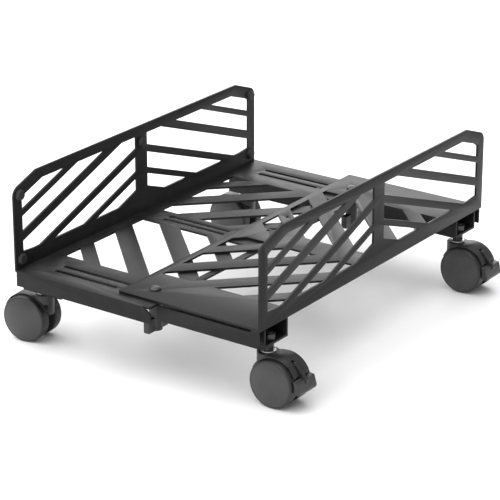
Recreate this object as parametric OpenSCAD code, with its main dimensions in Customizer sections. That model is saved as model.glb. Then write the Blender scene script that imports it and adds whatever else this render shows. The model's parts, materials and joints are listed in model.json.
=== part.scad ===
// Rolling, width-adjustable stand for a computer tower.
// Two bent steel trays slide into each other; each carries a slotted side panel and two twin-wheel casters.
// X is the width (left panel at -X), Y is the depth (front at -Y), Z is up, and z = 0 is the floor.

/* [Trays] */
// Width over the two side panels at rest
stand_w = 296; // [280:1:298]
// Depth of each tray and side panel
tray_d = 420; // [416:1:430]
// How far the right tray sits behind the left one
tray_shift = 14; // [13:0.5:15]
// Sheet thickness
sheet = 2.3; // [2:0.1:2.5]
// Height of the left deck's top above the floor
deck_z = 84; // [83:0.5:88]
// Width of each deck, from its panel's outer face to its free edge
deck_w = 172; // [170:1:175]
// Height of the side panels above the left deck
panel_h = 99; // [96:1:112]
// Height of the front and rear flanges
flange_h = 17; // [16:0.5:18]
// Depth of the caster channels below the left deck's top
channel_h = 24; // [23:0.5:24.5]
// Clearance between sliding sheets
slide_gap = 0.3; // [0.3:0.05:0.4]

/* [Slots] */
// Rise of the side panels' slots, in degrees
panel_slope = 20; // [18:0.5:21]
// Width of the upright bar in the middle of a side panel
bar_w = 19; // [15:1:22]
// Frame left around a side panel's slots, at its ends and bottom
panel_rim = 12.5; // [11:0.5:15]
// Border left outside the deck's chevron slots
deck_rim = 15; // [13:1:18]
// Border left at the deck's free edge
edge_rim = 8; // [6:1:10]
// Half of the solid band across the middle of a deck
mid_band = 16.5; // [14:0.5:19]
// Where the front and rear bands of a deck start
band_y = 149; // [146:1:152]

/* [Casters] */
// Wheel diameter
wheel_d = 50; // [48:1:51]
// Distance from a swivel stem to the wheels' axle
trail = 14; // [13:0.5:15]
// Width over both wheels
twin_w = 44; // [43:0.5:45]
// Stem diameter
stem_d = 8; // [8:0.1:8.2]

/* [Hidden] */

$fn = 48;
eps = 0.01;

// Trays
half_w = stand_w / 2;
half_d = tray_d / 2;
left_y = -tray_shift / 2;
right_y = tray_shift / 2;
right_z = deck_z + slide_gap;
panel_top = deck_z + panel_h;
bracket_z = deck_z - channel_h;
right_bracket_z = bracket_z + sheet + slide_gap;
flange_z = deck_z - flange_h;
right_flange_z = flange_z - 1;
bend_r = sheet;
panel_foot = 1.7;
relief = 2;
bracket_in = 10;
bracket_w = 40;
bracket_l = 50;
slit_end = half_w - 11;
flange_start = 23;
left_flange_end = deck_w - half_w + 2;
flange_cut_l = 10;
flange_cut_h = 7;
lip_h = 9;
lip_end = 11;
rib_end = 23;

// Side panel outline and slots: each slot is [lower, upper] height where it meets the middle bar
chamfer_l = 36;
corner_r = 11;
corner_drop = 7.7;
window_cut = 33;
foot_cut = 16;
foot_rise = 1.5;
tip_cut = 3;
tip_rise = 1;
rim_top = 11;
rim_low = 16;
panel_slots = [[27.3, 41.5], [48.6, 66.3], [74.8, 97], [107, 123.7], [130.8, 180]];

// Deck slots: each is [start, end] of the sum of the distances from the stand's middle
deck_slots = [[11.5, 41], [63.5, 99.5], [127.5, 168.5], [197.5, 233.5], [256, 340]];
slot_w = 4.6;
slot_ys = [172.5, 172.5 + tray_shift];
slot_x = [-113.5, -33];
mid_slot_y = 5;
hole_r = 2;
hole_spots = [[2, 12.5], [-4, 57]];

// Clamps
bolt_x = 4;
bolt_y = slot_ys[0] + tray_shift / 2;
bolt_r = 2;
bolt_slot_end = bolt_x + 8;
head_r = 6;
head_h = 3.6;
head_dome = 8.5;
washer_t = 1.2;
clamp_z = deck_z - sheet - slide_gap - washer_t;
knob_z = deck_z - 40;
knob_r = 16;
knob_hub = 6.8;
wing_w = 7;
wing_h = 14;
knob_floor = 4;

// Bumpers
bumper_r = 6.2;
bumper_h = 3.4;
bumper_y = half_d - 9;
bumper_low = 10;
bumper_high = 79.5;

// Casters
wheel_r = wheel_d / 2;
wheel_gap = 6.2;
cap_r = wheel_r - 2.2;
cap_rise = 3.6;
cap_lip = 1.6;
hub_r = 7;
hub_in = 4.2;
axle_r = 3;
run_gap = 0.05;
stem_r = stem_d / 2;
stem_x = half_w - 11;
housing_top = wheel_d + 2;
collar_r = 5.4;
washer_h = 1.4;
washer_r = 7.8;
barrel_r = 11.5;
barrel_h = 10;
stem_low = 32;
hood_r = wheel_r + 2;
hood_in = wheel_r + 0.6;
hood_w = 12;
web_w = wheel_gap - 0.4;
nut_flat = 13;
nut_h = 6.5;
pivot_x = 17;
pivot_z = 19;
pedal_tip = 33;
pedal_w = 30;
pin_r = 1.5;
clevis_w = 4.6;

// Turn of the front left caster as it stands
fl_turn = 6;

// Half of what the brake pedals add on the right, so that x = 0 is the middle of the whole outline
x_shift = (pedal_tip - wheel_r) / 2;

// Where a caster's stem stands: side is -1 on the left, end is -1 at the front
function caster_x(side) = side * stem_x;
function caster_y(side, end) = (side < 0 ? left_y : right_y) + end * (half_d - bracket_in - bracket_w / 2);
function caster_turn(side, end) = side > 0 ? 0 : (end < 0 ? 180 + fl_turn : 180);
function under_z(side) = side < 0 ? bracket_z : right_bracket_z;

// A side panel in its own plane: x is the depth, y is the height above the left deck
module panel_outline(base) {
    rise = tan(panel_slope);
    hull() {
        translate([-half_d, base]) square([tray_d, 20]);
        translate([-half_d + chamfer_l, panel_h - 1]) square([tray_d - 2 * chamfer_l, 1]);
        for (end = [-1, 1])
            translate([end * (half_d - corner_r), panel_h - chamfer_l * rise - corner_drop])
                circle(corner_r);
    }
}

module panel_window() {
    rise = tan(panel_slope);
    low = rim_low;
    high = panel_h - rim_top;
    far = half_d - panel_rim;
    polygon([
        [bar_w / 2, low], [far - foot_cut, low], [far, low + foot_rise],
        [far, high - window_cut * rise - tip_rise],
        [far - tip_cut, high - (window_cut - tip_cut) * rise + tip_rise / 3],
        [far - window_cut, high], [bar_w / 2, high]
    ]);
}

module panel_openings() {
    rise = tan(panel_slope);
    intersection() {
        panel_window();
        for (s = panel_slots)
            polygon([
                [0, s[0] + bar_w / 2 * rise], [half_d, s[0] + (bar_w / 2 - half_d) * rise],
                [half_d, s[1] + (bar_w / 2 - half_d) * rise], [0, s[1] + bar_w / 2 * rise]
            ]);
    }
}

module side_panel(base) {
    rotate([90, 0, 90])
        linear_extrude(sheet)
            difference() {
                panel_outline(base);
                panel_openings();
                mirror([1, 0]) panel_openings();
            }
}

// One quarter of a deck's chevron slots: x runs outwards, y away from the tray's middle
module deck_quarter() {
    inner = edge_rim - (deck_w - half_w);
    outer = half_w - deck_rim;
    intersection() {
        translate([inner, mid_band]) square([outer - inner, band_y - mid_band]);
        for (s = deck_slots)
            polygon([
                [-half_w, s[0] + half_w], [-half_w, s[1] + half_w],
                [half_w, s[1] - half_w], [half_w, s[0] - half_w]
            ]);
    }
}

module deck_openings() {
    deck_quarter();
    mirror([0, 1]) deck_quarter();
}

module long_slot(x0, x1) {
    hull()
        for (x = [x0 + slot_w / 2, x1 - slot_w / 2])
            translate([x, 0]) circle(slot_w / 2);
}

// Rounds the bend between a deck and its panel from the outside; z is the deck's underside
module bend_cut(z) {
    translate([half_w - bend_r, 0, z + bend_r])
        rotate([90, 0, 0])
            linear_extrude(tray_d + 2, center = true)
                difference() {
                    translate([0, -bend_r - 1]) square(bend_r + 1);
                    circle(bend_r);
                }
}

// Channel for a caster, open at its outer end; y = 0 is a flange's outer face.
// Its inner wall runs on as a rib to rib_end, its outer wall runs on to outer_end.
module caster_channel(low, top, outer_end) {
    out = half_w - relief;
    translate([out - bracket_l, bracket_in, low]) cube([bracket_l, bracket_w, sheet]);
    translate([outer_end, bracket_in, low]) cube([out - outer_end, sheet, top - low]);
    translate([rib_end, bracket_in + bracket_w - sheet, low]) cube([out - rib_end, sheet, top - low]);
}

module stem_hole(low) {
    translate([stem_x, bracket_in + bracket_w / 2, low - 1]) cylinder(h = sheet + 2, r = stem_r);
}

// Left tray, drawn with its panel at +X and mirrored into place
module left_tray_solid() {
    free = deck_w - half_w;
    difference() {
        union() {
            translate([-free, -half_d + sheet / 2, deck_z - sheet])
                cube([deck_w, tray_d - sheet, sheet]);
            translate([half_w - sheet, 0, deck_z]) side_panel(-sheet);
            // front flange, with a cut corner at its free end
            translate([0, -half_d + sheet, 0])
                rotate([90, 0, 0])
                    linear_extrude(sheet)
                        polygon([
                            [half_w - relief, flange_z], [half_w - relief, deck_z],
                            [flange_cut_l - left_flange_end, deck_z],
                            [-left_flange_end, deck_z - flange_cut_h], [-left_flange_end, flange_z]
                        ]);
            // rear flange, and the low lip that passes over the right tray's bracket
            translate([-lip_end, half_d - sheet, flange_z])
                cube([half_w - relief + lip_end, sheet, deck_z - flange_z]);
            translate([-free, half_d - sheet, deck_z - lip_h]) cube([free, sheet, lip_h]);
            for (end = [0, 1])
                mirror([0, end, 0])
                    translate([0, -half_d, 0])
                        caster_channel(bracket_z, deck_z - eps, half_w - relief - bracket_l);
        }
        bend_cut(deck_z - sheet);
        translate([0, 0, deck_z - sheet - 1])
            linear_extrude(sheet + 2) {
                deck_openings();
                mirror([1, 0]) {
                    translate([0, -slot_ys[0]]) long_slot(slot_x[0], bolt_slot_end);
                    translate([0, -slot_ys[1]]) long_slot(slot_x[0], slot_x[1]);
                    translate([0, slot_ys[0]]) long_slot(slot_x[0], slot_x[1]);
                    translate([0, slot_ys[1]]) long_slot(slot_x[0], bolt_slot_end);
                    for (y = [-mid_slot_y, mid_slot_y])
                        translate([0, y]) long_slot(slot_x[0], slot_x[1]);
                }
            }
        for (end = [0, 1])
            mirror([0, end, 0])
                translate([0, -half_d, 0]) stem_hole(bracket_z);
    }
}

// Right tray: its deck lies on the left one, which passes through the slit above the front flange
module right_tray_solid() {
    free = deck_w - half_w;
    under = deck_z - sheet - slide_gap;
    difference() {
        union() {
            translate([-free, -half_d, right_z]) cube([deck_w, tray_d, sheet]);
            translate([half_w - sheet, 0, deck_z]) side_panel(slide_gap - panel_foot);
            // front flange, hung from the deck at its outer end only
            translate([flange_start, -half_d, right_flange_z])
                cube([half_w - relief - flange_start, sheet, under - right_flange_z]);
            translate([slit_end, -half_d, right_flange_z])
                cube([half_w - relief - slit_end, sheet, right_z + eps - right_flange_z]);
            // rear flange
            translate([-free, half_d - sheet, deck_z - lip_h])
                cube([free + half_w - relief, sheet, lip_h + sheet]);
            translate([flange_start, half_d - sheet, right_flange_z])
                cube([half_w - relief - flange_start, sheet, right_z + eps - right_flange_z]);
            for (end = [0, 1])
                mirror([0, end, 0])
                    translate([0, -half_d, 0]) {
                        caster_channel(right_bracket_z, under, rib_end);
                        for (y = [bracket_in, bracket_in + bracket_w - sheet])
                            translate([slit_end, y, right_bracket_z])
                                cube([half_w - relief - slit_end, sheet, right_z + eps - right_bracket_z]);
                    }
        }
        bend_cut(right_z - panel_foot);
        translate([0, 0, right_z - 1]) linear_extrude(sheet + 2) deck_openings();
        for (p = hole_spots)
            translate([p[0], p[1], right_z - 1]) cylinder(h = sheet + 2, r = hole_r);
        for (y = [-bolt_y - right_y, bolt_y - right_y])
            translate([bolt_x, y, right_z - 1]) cylinder(h = sheet + 2, r = bolt_r);
        for (end = [0, 1])
            mirror([0, end, 0])
                translate([0, -half_d, 0]) stem_hole(right_bracket_z);
    }
}

module left_tray() {
    color([0.16, 0.16, 0.17])
        translate([-x_shift, left_y, 0]) mirror([1, 0, 0]) left_tray_solid();
}

module right_tray() {
    color([0.18, 0.18, 0.19])
        translate([-x_shift, right_y, 0]) right_tray_solid();
}

// Round rubber bumpers on a panel's inner face
module bumpers(side, tray_y) {
    color([0.08, 0.08, 0.08])
        for (y = [-bumper_y, 0, bumper_y], z = [bumper_low, bumper_high])
            if (z == bumper_high || y != 0)
                translate([side * (half_w - sheet) - x_shift, tray_y + y, deck_z + z])
                    rotate([0, -90 * side, 0]) bumper();
}

module bumper() {
    cylinder(h = bumper_h, r1 = bumper_r, r2 = bumper_r - 1.2);
}

module left_bumpers() {
    bumpers(-1, left_y);
}

module right_bumpers() {
    bumpers(1, right_y);
}

module at_clamps() {
    for (y = [-bolt_y, bolt_y])
        translate([bolt_x - x_shift, y, 0]) children();
}

// Carriage bolts: a low domed head on the right deck and a shank down into the knob
module clamp_bolts() {
    color([0.12, 0.12, 0.12])
        at_clamps() {
            translate([0, 0, knob_z + knob_floor + 1])
                cylinder(h = right_z + sheet - knob_z - knob_floor - 1, r = bolt_r);
            translate([0, 0, right_z + sheet])
                rotate_extrude()
                    intersection() {
                        square([head_r, head_h]);
                        translate([0, head_h - head_dome]) circle(head_dome);
                    }
        }
}

module clamp_washers() {
    color([0.6, 0.6, 0.62])
        at_clamps()
            translate([0, 0, clamp_z])
                difference() {
                    cylinder(h = washer_t, r = knob_hub - 0.5);
                    translate([0, 0, -1]) cylinder(h = washer_t + 2, r = bolt_r);
                }
}

// Winged knob that draws the two decks together
module wing_knob() {
    difference() {
        union() {
            translate([0, 0, knob_z]) cylinder(h = clamp_z - 0.2 - knob_z, r = knob_hub);
            intersection() {
                translate([-wing_w / 2, -knob_r, knob_z]) cube([wing_w, 2 * knob_r, wing_h]);
                translate([0, 0, knob_z - 1]) cylinder(h = wing_h + 2, r = knob_r);
            }
        }
        translate([0, 0, knob_z + knob_floor]) cylinder(h = clamp_z - knob_z, r = bolt_r + run_gap);
    }
}

module front_knob() {
    color([0.07, 0.07, 0.07]) translate([bolt_x - x_shift, -bolt_y, 0]) wing_knob();
}

module rear_knob() {
    color([0.07, 0.07, 0.07]) translate([bolt_x - x_shift, bolt_y, 0]) wing_knob();
}

// Everything on a caster is drawn about its stem, with the wheels trailing along +X
module at_caster(side, end) {
    translate([caster_x(side) - x_shift, caster_y(side, end), 0])
        rotate([0, 0, caster_turn(side, end)]) children();
}

module stem_solid(under) {
    translate([0, 0, stem_low]) cylinder(h = under + sheet + nut_h + 1 - stem_low, r = stem_r);
    translate([0, 0, housing_top + washer_h]) cylinder(h = under - housing_top - washer_h, r = collar_r);
}

module housing_solid() {
    difference() {
        union() {
            // barrel around the stem, cut away where the wheels turn
            difference() {
                translate([0, 0, housing_top - barrel_h]) cylinder(h = barrel_h - 0.2, r = barrel_r);
                for (face = [-1, 1])
                    translate([trail, face * (web_w + twin_w / 2), wheel_r])
                        rotate([90, 0, 0]) cylinder(h = twin_w, r = hood_in, center = true);
            }
            // web between the wheels, around the stem and the axle
            intersection() {
                union() {
                    translate([0, 0, stem_low - 2]) cylinder(h = housing_top - stem_low, r = barrel_r);
                    translate([trail, 0, wheel_r])
                        rotate([90, 0, 0]) cylinder(h = 2 * web_w, r = 8, center = true);
                    hood_arc(0, 2 * web_w);
                }
                translate([-barrel_r - 1, -web_w, wheel_r - 9]) cube([60, 2 * web_w, 60]);
            }
            hood_arc(hood_in, 2 * hood_w);
        }
        translate([0, 0, stem_low - 0.3]) cylinder(h = 40, r = stem_r + run_gap);
        translate([trail, 0, wheel_r]) rotate([90, 0, 0]) cylinder(h = 60, r = axle_r, center = true);
        // clevis and pin hole for the brake pedal
        translate([trail + pivot_x - 4, -clevis_w / 2, wheel_r + 6]) cube([20, clevis_w, 30]);
        translate([trail + pivot_x, 0, wheel_r + pivot_z])
            rotate([90, 0, 0]) cylinder(h = 30, r = pin_r, center = true);
    }
}

// Part of a ring about the axle, over the top of the wheels, from radius r_in out to the hood
module hood_arc(r_in, width) {
    translate([trail, 0, wheel_r])
        rotate([90, 0, 0])
            linear_extrude(width, center = true)
                difference() {
                    intersection() {
                        circle(hood_r);
                        polygon([[0, 0], [60, 26], [60, 60], [-60, 60], [-60, 26]]);
                    }
                    circle(r_in + eps);
                }
}

module axle_solid() {
    translate([trail, 0, wheel_r])
        rotate([90, 0, 0]) cylinder(h = twin_w - 2 * hub_in + 0.8, r = axle_r, center = true);
}

// One wheel on the -Y side of the axle: tyre and rim, hollow behind the cap
module wheel_solid() {
    face = twin_w / 2 - cap_rise - 0.6;
    translate([trail, 0, wheel_r])
        rotate([90, 0, 0])
            rotate_extrude($fn = 72)
                polygon([
                    [axle_r + run_gap, wheel_gap], [wheel_r - 1.2, wheel_gap], [wheel_r, wheel_gap + 1.2],
                    [wheel_r, face - 1.6], [wheel_r - 0.6, face - 0.5], [cap_r, face],
                    [cap_r, face - cap_lip], [hub_r, face - cap_lip], [hub_r, twin_w / 2 - hub_in],
                    [axle_r + run_gap, twin_w / 2 - hub_in]
                ]);
}

// Domed cap that closes a wheel's outer face
module cap_solid() {
    dome_r = (cap_r * cap_r + cap_rise * cap_rise) / (2 * cap_rise);
    translate([trail, 0, wheel_r])
        rotate([90, 0, 0])
            translate([0, 0, twin_w / 2 - cap_rise - 0.6])
                difference() {
                    rotate_extrude($fn = 72)
                        intersection() {
                            translate([0, -cap_lip]) square([cap_r, cap_rise + cap_lip]);
                            translate([0, cap_rise - dome_r]) circle(dome_r, $fn = 180);
                        }
                    translate([0, 0, -cap_lip - 1]) cylinder(h = cap_lip + 1.6, r = hub_r + 1);
                }
}

module pedal_solid() {
    translate([trail, 0, wheel_r])
        rotate([90, 0, 0]) {
            // arm inside the clevis
            linear_extrude(clevis_w - 0.6, center = true)
                difference() {
                    hull() {
                        translate([pivot_x, pivot_z]) circle(3, $fn = 32);
                        translate([wheel_r + 4, 6]) circle(3, $fn = 32);
                    }
                    translate([pivot_x, pivot_z]) circle(pin_r + run_gap);
                }
            // paddle across both treads
            linear_extrude(pedal_w, center = true)
                difference() {
                    polygon([
                        [wheel_r - 3, 9], [pedal_tip - 3, 8], [pedal_tip, -2], [pedal_tip - 0.8, -5],
                        [wheel_r, -4]
                    ]);
                    circle(wheel_r + 1);
                }
        }
}

module pedal_pin_solid() {
    translate([trail + pivot_x, 0, wheel_r + pivot_z])
        rotate([90, 0, 0]) cylinder(h = 2 * web_w - 0.6, r = pin_r, center = true);
}

module stem_washer_solid() {
    translate([0, 0, housing_top])
        difference() {
            cylinder(h = washer_h, r = washer_r);
            translate([0, 0, -1]) cylinder(h = 4, r = stem_r);
        }
}

module stem_nut_solid(under) {
    translate([0, 0, under + sheet])
        difference() {
            cylinder(h = nut_h, d = nut_flat / cos(30), $fn = 6);
            translate([0, 0, -1]) cylinder(h = nut_h + 2, r = stem_r);
        }
}

module stem_nuts(side) {
    color([0.62, 0.63, 0.65])
        for (end = [-1, 1])
            at_caster(side, end) stem_nut_solid(under_z(side));
}

module stem_washers(side) {
    color([0.75, 0.75, 0.77])
        for (end = [-1, 1])
            at_caster(side, end) stem_washer_solid();
}

module left_stem_nuts() {
    stem_nuts(-1);
}

module right_stem_nuts() {
    stem_nuts(1);
}

module left_stem_washers() {
    stem_washers(-1);
}

module right_stem_washers() {
    stem_washers(1);
}

module stem(side, end) {
    color([0.45, 0.45, 0.47]) at_caster(side, end) stem_solid(under_z(side));
}

module housing(side, end) {
    color([0.1, 0.1, 0.1]) at_caster(side, end) housing_solid();
}

module axle(side, end) {
    color([0.7, 0.7, 0.72]) at_caster(side, end) axle_solid();
}

// face is -1 for the wheel at the front of the axle and 1 for the one behind
module wheel(side, end, face) {
    color([0.13, 0.13, 0.13])
        at_caster(side, end)
            mirror([0, side * face > 0 ? 1 : 0, 0]) wheel_solid();
}

module cap(side, end, face) {
    color([0.2, 0.2, 0.2])
        at_caster(side, end)
            mirror([0, side * face > 0 ? 1 : 0, 0]) cap_solid();
}

module brake_pedal(end) {
    color([0.09, 0.09, 0.09]) at_caster(1, end) pedal_solid();
}

module pedal_pin(end) {
    color([0.7, 0.7, 0.72]) at_caster(1, end) pedal_pin_solid();
}

left_tray();
right_tray();
left_bumpers();
right_bumpers();
clamp_bolts();
clamp_washers();
front_knob();
rear_knob();
left_stem_nuts();
right_stem_nuts();
left_stem_washers();
right_stem_washers();
stem(-1, -1);  // caster_fl_stem
housing(-1, -1);  // caster_fl_housing
axle(-1, -1);  // caster_fl_axle
wheel(-1, -1, -1);  // caster_fl_front_wheel
cap(-1, -1, -1);  // caster_fl_front_cap
wheel(-1, -1, 1);  // caster_fl_rear_wheel
cap(-1, -1, 1);  // caster_fl_rear_cap
stem(1, -1);  // caster_fr_stem
housing(1, -1);  // caster_fr_housing
axle(1, -1);  // caster_fr_axle
wheel(1, -1, -1);  // caster_fr_front_wheel
cap(1, -1, -1);  // caster_fr_front_cap
wheel(1, -1, 1);  // caster_fr_rear_wheel
cap(1, -1, 1);  // caster_fr_rear_cap
stem(-1, 1);  // caster_rl_stem
housing(-1, 1);  // caster_rl_housing
axle(-1, 1);  // caster_rl_axle
wheel(-1, 1, -1);  // caster_rl_front_wheel
cap(-1, 1, -1);  // caster_rl_front_cap
wheel(-1, 1, 1);  // caster_rl_rear_wheel
cap(-1, 1, 1);  // caster_rl_rear_cap
stem(1, 1);  // caster_rr_stem
housing(1, 1);  // caster_rr_housing
axle(1, 1);  // caster_rr_axle
wheel(1, 1, -1);  // caster_rr_front_wheel
cap(1, 1, -1);  // caster_rr_front_cap
wheel(1, 1, 1);  // caster_rr_rear_wheel
cap(1, 1, 1);  // caster_rr_rear_cap
brake_pedal(-1);  // front_brake_pedal
pedal_pin(-1);  // front_pedal_pin
brake_pedal(1);  // rear_brake_pedal
pedal_pin(1);  // rear_pedal_pin
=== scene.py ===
import json
import math

import bmesh
import bpy
from mathutils import Matrix, Vector


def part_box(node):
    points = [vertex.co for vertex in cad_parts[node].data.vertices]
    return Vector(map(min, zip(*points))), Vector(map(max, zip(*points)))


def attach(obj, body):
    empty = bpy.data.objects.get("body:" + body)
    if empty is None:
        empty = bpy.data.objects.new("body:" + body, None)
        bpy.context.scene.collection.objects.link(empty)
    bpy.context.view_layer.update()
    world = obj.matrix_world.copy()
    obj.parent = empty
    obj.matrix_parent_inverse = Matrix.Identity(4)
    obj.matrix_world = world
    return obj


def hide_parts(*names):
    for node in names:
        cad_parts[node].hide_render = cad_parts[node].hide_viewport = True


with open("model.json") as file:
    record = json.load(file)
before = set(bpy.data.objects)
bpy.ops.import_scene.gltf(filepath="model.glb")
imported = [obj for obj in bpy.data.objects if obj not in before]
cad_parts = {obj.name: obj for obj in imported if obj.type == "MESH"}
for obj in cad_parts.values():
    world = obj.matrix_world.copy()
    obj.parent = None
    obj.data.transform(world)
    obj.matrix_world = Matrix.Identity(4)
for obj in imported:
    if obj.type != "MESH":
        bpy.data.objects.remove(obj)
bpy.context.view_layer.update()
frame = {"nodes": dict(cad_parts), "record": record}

# ---------------------------------------------------------------------------
# Trays
# Two sheets of cold-rolled steel, laser cut and folded: deck, flanges, caster
# channels and side panel. They are powder coated satin black, and the right
# tray's deck lies on the left one and slides along it.
# ---------------------------------------------------------------------------
bodies_of = frame["record"]["behaviour"]["bodies"]
POWDER_BLACK = (0.0125, 0.0125, 0.013, 1)
POWDER_SHEEN = 0.17
CUT_EDGE = 0.00045
WELD_DISTANCE = 2e-6
FLAT_WITHIN = math.radians(0.4)
EDGE_FROM = math.radians(28)


def new_finish(name, colour, roughness, metallic=0.0):
    mat = bpy.data.materials.new(name)
    mat.use_nodes = True
    shader = mat.node_tree.nodes["Principled BSDF"]
    shader.inputs["Base Color"].default_value = colour
    shader.inputs["Roughness"].default_value = roughness
    shader.inputs["Metallic"].default_value = metallic
    return mat, shader


def grain(mat, shader, scale, spread, colours, rough=None, bump=0.0, height=0.00002):
    """Noise on Object coordinates: a small spread of colour and roughness, and a fine bump."""
    nodes, links = mat.node_tree.nodes, mat.node_tree.links
    place = nodes.new("ShaderNodeTexCoord")
    cloud = nodes.new("ShaderNodeTexNoise")
    cloud.inputs["Scale"].default_value = scale / 12
    cloud.inputs["Detail"].default_value = 5
    links.new(place.outputs["Object"], cloud.inputs["Vector"])
    tint = nodes.new("ShaderNodeValToRGB")
    tint.color_ramp.elements[0].position = 0.5 - spread
    tint.color_ramp.elements[1].position = 0.5 + spread
    tint.color_ramp.elements[0].color = colours[0]
    tint.color_ramp.elements[1].color = colours[1]
    links.new(cloud.outputs["Fac"], tint.inputs["Fac"])
    links.new(tint.outputs["Color"], shader.inputs["Base Color"])
    if rough:
        worn = nodes.new("ShaderNodeMapRange")
        worn.inputs["To Min"].default_value = rough[0]
        worn.inputs["To Max"].default_value = rough[1]
        links.new(cloud.outputs["Fac"], worn.inputs["Value"])
        links.new(worn.outputs["Result"], shader.inputs["Roughness"])
    if bump:
        fine = nodes.new("ShaderNodeTexNoise")
        fine.inputs["Scale"].default_value = scale
        fine.inputs["Detail"].default_value = 2
        links.new(place.outputs["Object"], fine.inputs["Vector"])
        relief = nodes.new("ShaderNodeBump")
        relief.inputs["Strength"].default_value = bump
        relief.inputs["Distance"].default_value = height
        links.new(fine.outputs["Fac"], relief.inputs["Height"])
        links.new(relief.outputs["Normal"], shader.inputs["Normal"])


powder_coat, shader = new_finish("satin_black_powder_coat", POWDER_BLACK, 0.42)
shader.inputs["Specular IOR Level"].default_value = POWDER_SHEEN
grain(powder_coat, shader, 900, 0.2,
      ((0.0105, 0.0105, 0.011, 1), (0.0155, 0.0155, 0.016, 1)), rough=(0.36, 0.5), bump=0.35)


def eased_copy(node, name, width, segments=2):
    """A CAD node's own shape as one welded mesh with its sharp edges eased by width."""
    mesh = frame["nodes"][node].data.copy()
    mesh.name = name
    mesh.materials.clear()
    shape = bmesh.new()
    shape.from_mesh(mesh)
    bmesh.ops.remove_doubles(shape, verts=shape.verts, dist=WELD_DISTANCE)
    bmesh.ops.dissolve_limit(shape, angle_limit=FLAT_WITHIN, verts=shape.verts,
                             edges=shape.edges, delimit={"NORMAL"})
    shape.to_mesh(mesh)
    shape.free()
    for face in mesh.polygons:
        face.use_smooth = True
    piece = bpy.data.objects.new(name, mesh)
    bpy.context.scene.collection.objects.link(piece)
    ease = piece.modifiers.new("eased_edges", "BEVEL")
    ease.width = width
    ease.segments = segments
    ease.limit_method = "ANGLE"
    ease.angle_limit = EDGE_FROM
    ease.harden_normals = True
    return flatten(piece)


def flatten(piece):
    """The piece with its modifiers turned into plain mesh."""
    depsgraph = bpy.context.evaluated_depsgraph_get()
    mesh = bpy.data.meshes.new_from_object(
        piece.evaluated_get(depsgraph), preserve_all_data_layers=True, depsgraph=depsgraph)
    mesh.name = piece.name
    piece.modifiers.clear()
    piece.data = mesh
    return piece


def body_with(node):
    return next(body for body, nodes in bodies_of.items() if node in nodes)


def dress(node, name, finish, width=0.0003, segments=2):
    """Stands an eased copy in a CAD node's place."""
    piece = eased_copy(node, name, width, segments)
    piece.data.materials.clear()
    piece.data.materials.append(finish)
    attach(piece, body_with(node))
    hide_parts(node)
    return piece


for side in ("left", "right"):
    dress(f"{side}_tray", f"{side}_tray_sheet", powder_coat, CUT_EDGE)

# ---------------------------------------------------------------------------
# Bumpers
# Round black rubber pads stuck to the inner face of each side panel, three
# along the top rim and two at the bottom corners, so the tower isn't scratched.
# ---------------------------------------------------------------------------
BUMPER_R = 0.0062
BUMPER_TAPER = 0.0012
BUMPER_ROUND = 0.0005
BUMPER_SIDES = 48

rubber, shader = new_finish("black_rubber", (0.016, 0.016, 0.016, 1), 0.7)
grain(rubber, shader, 1400, 0.25, ((0.013, 0.013, 0.013, 1), (0.02, 0.02, 0.02, 1)),
      rough=(0.62, 0.78), bump=0.3)


def bumper_rows():
    """A top row of three bumpers and a bottom row of two, lying along Y on a panel."""
    tree = bpy.data.node_groups.new("bumper_rows", "GeometryNodeTree")
    face = tree.interface
    face.new_socket("Geometry", in_out="OUTPUT", socket_type="NodeSocketGeometry")
    names = {}
    for label, kind in (("Front Low", "NodeSocketVector"), ("Rear Low", "NodeSocketVector"),
                        ("Row Height", "NodeSocketFloat"), ("Radius", "NodeSocketFloat"),
                        ("Thickness", "NodeSocketFloat"), ("Taper", "NodeSocketFloat"),
                        ("Turn", "NodeSocketFloat"), ("Rubber", "NodeSocketMaterial")):
        names[label] = face.new_socket(label, in_out="INPUT", socket_type=kind).identifier
    nodes, links = tree.nodes, tree.links
    given = nodes.new("NodeGroupInput")
    result = nodes.new("NodeGroupOutput")

    def lifted(label):
        up = nodes.new("ShaderNodeCombineXYZ")
        links.new(given.outputs["Row Height"], up.inputs["Z"])
        add = nodes.new("ShaderNodeVectorMath")
        links.new(given.outputs[label], add.inputs[0])
        links.new(up.outputs[0], add.inputs[1])
        return add.outputs[0]

    def row(start, end, count):
        line = nodes.new("GeometryNodeMeshLine")
        line.mode = "END_POINTS"
        line.inputs["Count"].default_value = count
        links.new(start, line.inputs["Start Location"])
        links.new(end, line.inputs["Offset"])
        return line.outputs["Mesh"]

    spots = nodes.new("GeometryNodeJoinGeometry")
    links.new(row(given.outputs["Front Low"], given.outputs["Rear Low"], 2), spots.inputs[0])
    links.new(row(lifted("Front Low"), lifted("Rear Low"), 3), spots.inputs[0])

    pad = nodes.new("GeometryNodeMeshCone")
    pad.inputs["Vertices"].default_value = BUMPER_SIDES
    links.new(given.outputs["Radius"], pad.inputs["Radius Bottom"])
    links.new(given.outputs["Thickness"], pad.inputs["Depth"])
    shrink = nodes.new("ShaderNodeMath")
    shrink.operation = "SUBTRACT"
    links.new(given.outputs["Radius"], shrink.inputs[0])
    links.new(given.outputs["Taper"], shrink.inputs[1])
    links.new(shrink.outputs[0], pad.inputs["Radius Top"])

    turn = nodes.new("ShaderNodeCombineXYZ")
    links.new(given.outputs["Turn"], turn.inputs["Y"])
    place = nodes.new("GeometryNodeInstanceOnPoints")
    links.new(spots.outputs[0], place.inputs["Points"])
    links.new(pad.outputs["Mesh"], place.inputs["Instance"])
    links.new(turn.outputs[0], place.inputs["Rotation"])
    real = nodes.new("GeometryNodeRealizeInstances")
    coat = nodes.new("GeometryNodeSetMaterial")
    links.new(place.outputs[0], real.inputs[0])
    links.new(real.outputs[0], coat.inputs["Geometry"])
    links.new(given.outputs["Rubber"], coat.inputs["Material"])
    links.new(coat.outputs[0], result.inputs[0])
    return tree, names


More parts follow.
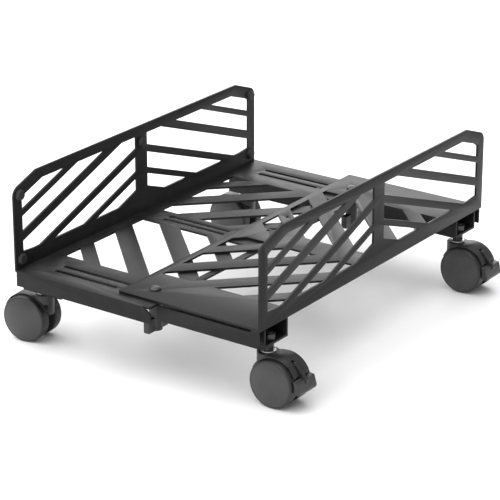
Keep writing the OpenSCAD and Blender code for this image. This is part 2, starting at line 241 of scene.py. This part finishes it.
rows_tree, rows_sockets = bumper_rows()
for side, facing in (("left", 1), ("right", -1)):
    node = f"{side}_bumpers"
    low, high = (Vector(corner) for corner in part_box(node))
    depth = high.x - low.x
    pads = bpy.data.objects.new(f"{side}_panel_bumpers", bpy.data.meshes.new(f"{side}_panel_bumpers"))
    bpy.context.scene.collection.objects.link(pads)
    grow = pads.modifiers.new("rows", "NODES")
    grow.node_group = rows_tree
    base_x = low.x if facing > 0 else high.x
    for label, value in (("Front Low", (base_x, low.y + BUMPER_R, low.z + BUMPER_R)),
                         ("Rear Low", (base_x, high.y - BUMPER_R, low.z + BUMPER_R)),
                         ("Row Height", high.z - low.z - 2 * BUMPER_R), ("Radius", BUMPER_R),
                         ("Thickness", depth), ("Taper", BUMPER_TAPER),
                         ("Turn", facing * math.pi / 2), ("Rubber", rubber)):
        grow[rows_sockets[label]] = value
    soften = pads.modifiers.new("soft_rim", "BEVEL")
    soften.width = BUMPER_ROUND
    soften.segments = 2
    soften.limit_method = "ANGLE"
    flatten(pads)
    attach(pads, body_with(node))
    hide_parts(node)

# ---------------------------------------------------------------------------
# Clamps
# A blackened steel carriage bolt at the front and one at the rear pass through
# both decks. A nylon knob under each one pulls the decks together, on a washer.
# ---------------------------------------------------------------------------
black_oxide, shader = new_finish("black_oxide_steel", (0.02, 0.02, 0.021, 1), 0.32)
grain(black_oxide, shader, 1600, 0.3, ((0.016, 0.016, 0.017, 1), (0.026, 0.026, 0.027, 1)),
      rough=(0.26, 0.4), bump=0.15)

zinc, shader = new_finish("bright_zinc_plate", (0.62, 0.63, 0.65, 1), 0.28, metallic=1.0)
grain(zinc, shader, 1300, 0.3, ((0.52, 0.53, 0.55, 1), (0.7, 0.71, 0.73, 1)),
      rough=(0.2, 0.36), bump=0.12)

nylon, shader = new_finish("black_nylon", (0.016, 0.016, 0.017, 1), 0.38)
grain(nylon, shader, 1100, 0.25, ((0.013, 0.013, 0.014, 1), (0.02, 0.02, 0.021, 1)),
      rough=(0.33, 0.45), bump=0.2)

dress("clamp_bolts", "carriage_bolts", black_oxide, 0.0003)
dress("clamp_washers", "knob_washers", zinc, 0.0002)
for end in ("front", "rear"):
    dress(f"{end}_knob", f"{end}_winged_knob", nylon, 0.0008, 3)

# ---------------------------------------------------------------------------
# Caster stems
# A dull steel stem with a collar stands through each channel, held by a nut on
# the channel's floor, and a bright washer lies on the housing below it.
# ---------------------------------------------------------------------------
collar_steel, shader = new_finish("dull_steel", (0.05, 0.05, 0.052, 1), 0.35, metallic=0.6)
grain(collar_steel, shader, 1500, 0.3, ((0.04, 0.04, 0.042, 1), (0.07, 0.07, 0.072, 1)),
      rough=(0.3, 0.42), bump=0.1)
for corner in ("fl", "fr", "rl", "rr"):
    dress(f"caster_{corner}_stem", f"{corner}_stem", collar_steel, 0.0003)
for side in ("left", "right"):
    dress(f"{side}_stem_nuts", f"{side}_hex_nuts", collar_steel, 0.0004)
    dress(f"{side}_stem_washers", f"{side}_bright_washers", zinc, 0.0002)

# ---------------------------------------------------------------------------
# Caster housings
# Each housing is one moulding of black nylon: a barrel round the stem, a web
# between the wheels and a hood over their tops. A steel axle runs through it.
# ---------------------------------------------------------------------------
for corner in ("fl", "fr", "rl", "rr"):
    dress(f"caster_{corner}_housing", f"{corner}_hooded_housing", nylon, 0.0007, 3)
    dress(f"caster_{corner}_axle", f"{corner}_axle", zinc, 0.0002)

# ---------------------------------------------------------------------------
# Wheels and caps
# Each wheel is a nylon rim with a plain tread, hollow on its outer side, and a
# slightly glossier domed cap snaps into it. They turn freely on the axle.
# ---------------------------------------------------------------------------
joints = {j["name"]: j for j in frame["record"]["behaviour"]["joints"]}
STEPS_ROUND = 96
CENTRE_WELD = 1e-7
CREASE_FROM = math.radians(32)

tread_nylon, shader = new_finish("matte_tread_nylon", (0.013, 0.013, 0.013, 1), 0.5)
grain(tread_nylon, shader, 1200, 0.25, ((0.0105, 0.0105, 0.011, 1), (0.017, 0.017, 0.0175, 1)),
      rough=(0.45, 0.58), bump=0.2)

cap_nylon, shader = new_finish("satin_cap_nylon", (0.03, 0.03, 0.031, 1), 0.3)
grain(cap_nylon, shader, 1000, 0.25, ((0.026, 0.026, 0.027, 1), (0.035, 0.035, 0.036, 1)),
      rough=(0.26, 0.34), bump=0.12)


def turned(name, outline, centre, axis, finish):
    """A closed outline of (radius, distance along the axis) turned about a wheel's axle."""
    mesh = bpy.data.meshes.new(name)
    shape = bmesh.new()
    rings = []
    for step in range(STEPS_ROUND):
        angle = 2 * math.pi * step / STEPS_ROUND
        rings.append([shape.verts.new((r * math.cos(angle), r * math.sin(angle), d))
                      for r, d in outline])
    count = len(outline)
    for step in range(STEPS_ROUND):
        here, there = rings[step], rings[(step + 1) % STEPS_ROUND]
        for i in range(count):
            j = (i + 1) % count
            shape.faces.new((here[i], there[i], there[j], here[j]))
    bmesh.ops.remove_doubles(shape, verts=shape.verts, dist=CENTRE_WELD)
    bmesh.ops.recalc_face_normals(shape, faces=shape.faces)
    turn = Vector((0, 0, 1)).rotation_difference(axis).to_matrix().to_4x4()
    shape.transform(Matrix.Translation(centre) @ turn)
    shape.to_mesh(mesh)
    shape.free()
    for face in mesh.polygons:
        face.use_smooth = True
    mesh.set_sharp_from_angle(angle=CREASE_FROM)
    mesh.materials.append(finish)
    piece = bpy.data.objects.new(name, mesh)
    bpy.context.scene.collection.objects.link(piece)
    return piece


def arc(centre, radius, start, end, steps):
    """Points on an arc, in degrees, as (radius, distance along the axis)."""
    return [(centre[0] + radius * math.cos(math.radians(start + (end - start) * i / steps)),
             centre[1] + radius * math.sin(math.radians(start + (end - start) * i / steps)))
            for i in range(steps + 1)]


AXLE_PLAY = 0.00005
wheel_low, wheel_high = (Vector(corner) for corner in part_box("caster_fr_front_wheel"))
cap_low, cap_high = (Vector(corner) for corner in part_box("caster_fr_front_cap"))
axle_low, axle_high = (Vector(corner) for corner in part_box("caster_fr_axle"))
wheel_r = (wheel_high.z - wheel_low.z) / 2
cap_r = (cap_high.z - cap_low.z) / 2
bore_r = (axle_high.z - axle_low.z) / 2 + AXLE_PLAY
axle_y = (axle_low.y + axle_high.y) / 2
inner = axle_y - wheel_high.y
cap_top = axle_y - cap_low.y
CAP_RISE = 0.0036
CAP_LIP = 0.0016
CAP_POCKET = 0.0006
CAP_GAP = 0.00005
CAP_SEAM = 0.0001
DOME_STEPS = 18
HUB_R = 0.007
HUB_STEP = 0.001
TREAD_EDGE = 0.0014
TREAD_STEPS = 4
RIM_ROUND = 0.0022
RIM_SWEEP = 84
RIM_STEPS = 8
face = cap_top - CAP_RISE

tread_outline = ([(bore_r, inner), (wheel_r - TREAD_EDGE, inner)]
                 + arc((wheel_r - TREAD_EDGE, inner + TREAD_EDGE), TREAD_EDGE, -90, 0,
                       TREAD_STEPS)[1:]
                 + arc((wheel_r - RIM_ROUND, face - RIM_ROUND), RIM_ROUND, 0, RIM_SWEEP,
                       RIM_STEPS)
                 + [(cap_r, face), (cap_r, face - CAP_LIP), (HUB_R, face - CAP_LIP),
                    (HUB_R, face - CAP_LIP + HUB_STEP), (bore_r, face - CAP_LIP + HUB_STEP)])
dome_r = (cap_r ** 2 + CAP_RISE ** 2) / (2 * CAP_RISE)
cap_face = [(r, face + CAP_RISE - dome_r + math.sqrt(dome_r ** 2 - r ** 2))
            for r in [cap_r * (1 - i / DOME_STEPS) for i in range(1, DOME_STEPS + 1)]]
pocket_r = HUB_R + HUB_STEP
cap_edge = cap_r - CAP_GAP
cap_outline = ([(0.0, face + CAP_POCKET), (pocket_r, face + CAP_POCKET), (pocket_r, face - CAP_LIP),
                (cap_edge, face - CAP_LIP), (cap_edge, face + CAP_SEAM)] + cap_face)

for corner in ("fl", "fr", "rl", "rr"):
    for side in ("front", "rear"):
        spin = joints[f"wheel_{corner}_{side}_spin"]
        axis = Vector(spin["axis"]) * (-1 if side == "front" else 1)
        centre = Vector(spin["pos_m"])
        wheel = turned(f"{corner}_{side}_rim", tread_outline, centre, axis, tread_nylon)
        cap = turned(f"{corner}_{side}_domed_cap", cap_outline, centre, axis, cap_nylon)
        body = f"wheel_{corner}_{side}"
        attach(wheel, body)
        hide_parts(f"caster_{corner}_{side}_wheel")
        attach(cap, body)
        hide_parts(f"caster_{corner}_{side}_cap")

# ---------------------------------------------------------------------------
# Brake pedals
# The two right casters have a nylon pedal in a slot of the hood. Its paddle
# lies across both treads, and it swings on a steel pin.
# ---------------------------------------------------------------------------
for end in ("front", "rear"):
    dress(f"{end}_brake_pedal", f"{end}_pedal_paddle", nylon, 0.0006, 3)
    dress(f"{end}_pedal_pin", f"{end}_pin", zinc, 0.0001)

# ---------------------------------------------------------------------------
# Studio
# A plain white floor that runs on past the frame, soft lights in front and
# behind, a wide one overhead and a long lens from the front right.
# ---------------------------------------------------------------------------
floor_mesh = bpy.data.meshes.new("floor")
FLOOR_REACH = 40.0
AIR_LIGHT = 0.45
AIR_SEEN = 1.0
floor_corners = [(x * FLOOR_REACH, y * FLOOR_REACH, 0)
                 for x, y in ((-1, -1), (1, -1), (1, 1), (-1, 1))]
floor_mesh.from_pydata(floor_corners, [], [(0, 1, 2, 3)])
floor = bpy.data.objects.new("floor", floor_mesh)
bpy.context.scene.collection.objects.link(floor)
floor_paint, shader = new_finish("pale_floor", (0.9, 0.9, 0.9, 1), 0.9)
floor_mesh.materials.append(floor_paint)

world = bpy.data.worlds.new("studio_air")
world.use_nodes = True
# the air lights the stand weakly but is seen as plain white
air = world.node_tree.nodes["Background"]
air.inputs["Color"].default_value = (1, 1, 1, 1)
seen = world.node_tree.nodes.new("ShaderNodeLightPath")
level = world.node_tree.nodes.new("ShaderNodeMapRange")
level.inputs["To Min"].default_value = AIR_LIGHT
level.inputs["To Max"].default_value = AIR_SEEN
world.node_tree.links.new(seen.outputs["Is Camera Ray"], level.inputs["Value"])
world.node_tree.links.new(level.outputs["Result"], air.inputs["Strength"])
bpy.context.scene.world = world
bpy.context.scene.view_settings.view_transform = "Standard"


def soft_light(name, place, target, size, power):
    lamp = bpy.data.lights.new(name, "AREA")
    lamp.shape = "SQUARE"
    lamp.size = size
    lamp.energy = power
    light = bpy.data.objects.new(name, lamp)
    light.location = place
    light.rotation_euler = (Vector(target) - Vector(place)).to_track_quat("-Z", "Y").to_euler()
    bpy.context.scene.collection.objects.link(light)


soft_light("front", (0.35, -2.3, 0.95), (0, 0, 0.06), 0.45, 10)
soft_light("behind", (-1.45, 2.05, 0.95), (0, 0, 0.08), 1.5, 20)

OVERHEAD_POWER = 3.9
OVERHEAD_SPREAD = 100
OVERHEAD_TILT = (12, -20)

sun = bpy.data.lights.new("overhead", "SUN")
sun.energy = OVERHEAD_POWER
sun.angle = math.radians(OVERHEAD_SPREAD)
sky = bpy.data.objects.new("overhead", sun)
sky.rotation_euler = (math.radians(OVERHEAD_TILT[0]), math.radians(OVERHEAD_TILT[1]), 0)
bpy.context.scene.collection.objects.link(sky)

CAMERA_PLACE = (1.3175, -1.8736, 0.975)
CAMERA_DOWN = 21.561
CAMERA_TURN = 35.377
LENS_LENGTH = 167.705
LENS_SHIFT = 0.0016
SEES_TO = 100

lens = bpy.data.cameras.new("camera")
lens.sensor_width = 36
lens.lens = LENS_LENGTH
lens.shift_x = LENS_SHIFT
lens.shift_y = LENS_SHIFT
lens.clip_end = SEES_TO
camera = bpy.data.objects.new("camera", lens)
camera.location = CAMERA_PLACE
camera.rotation_euler = (math.radians(90 - CAMERA_DOWN), 0, math.radians(CAMERA_TURN))
bpy.context.scene.collection.objects.link(camera)
bpy.context.scene.camera = camera
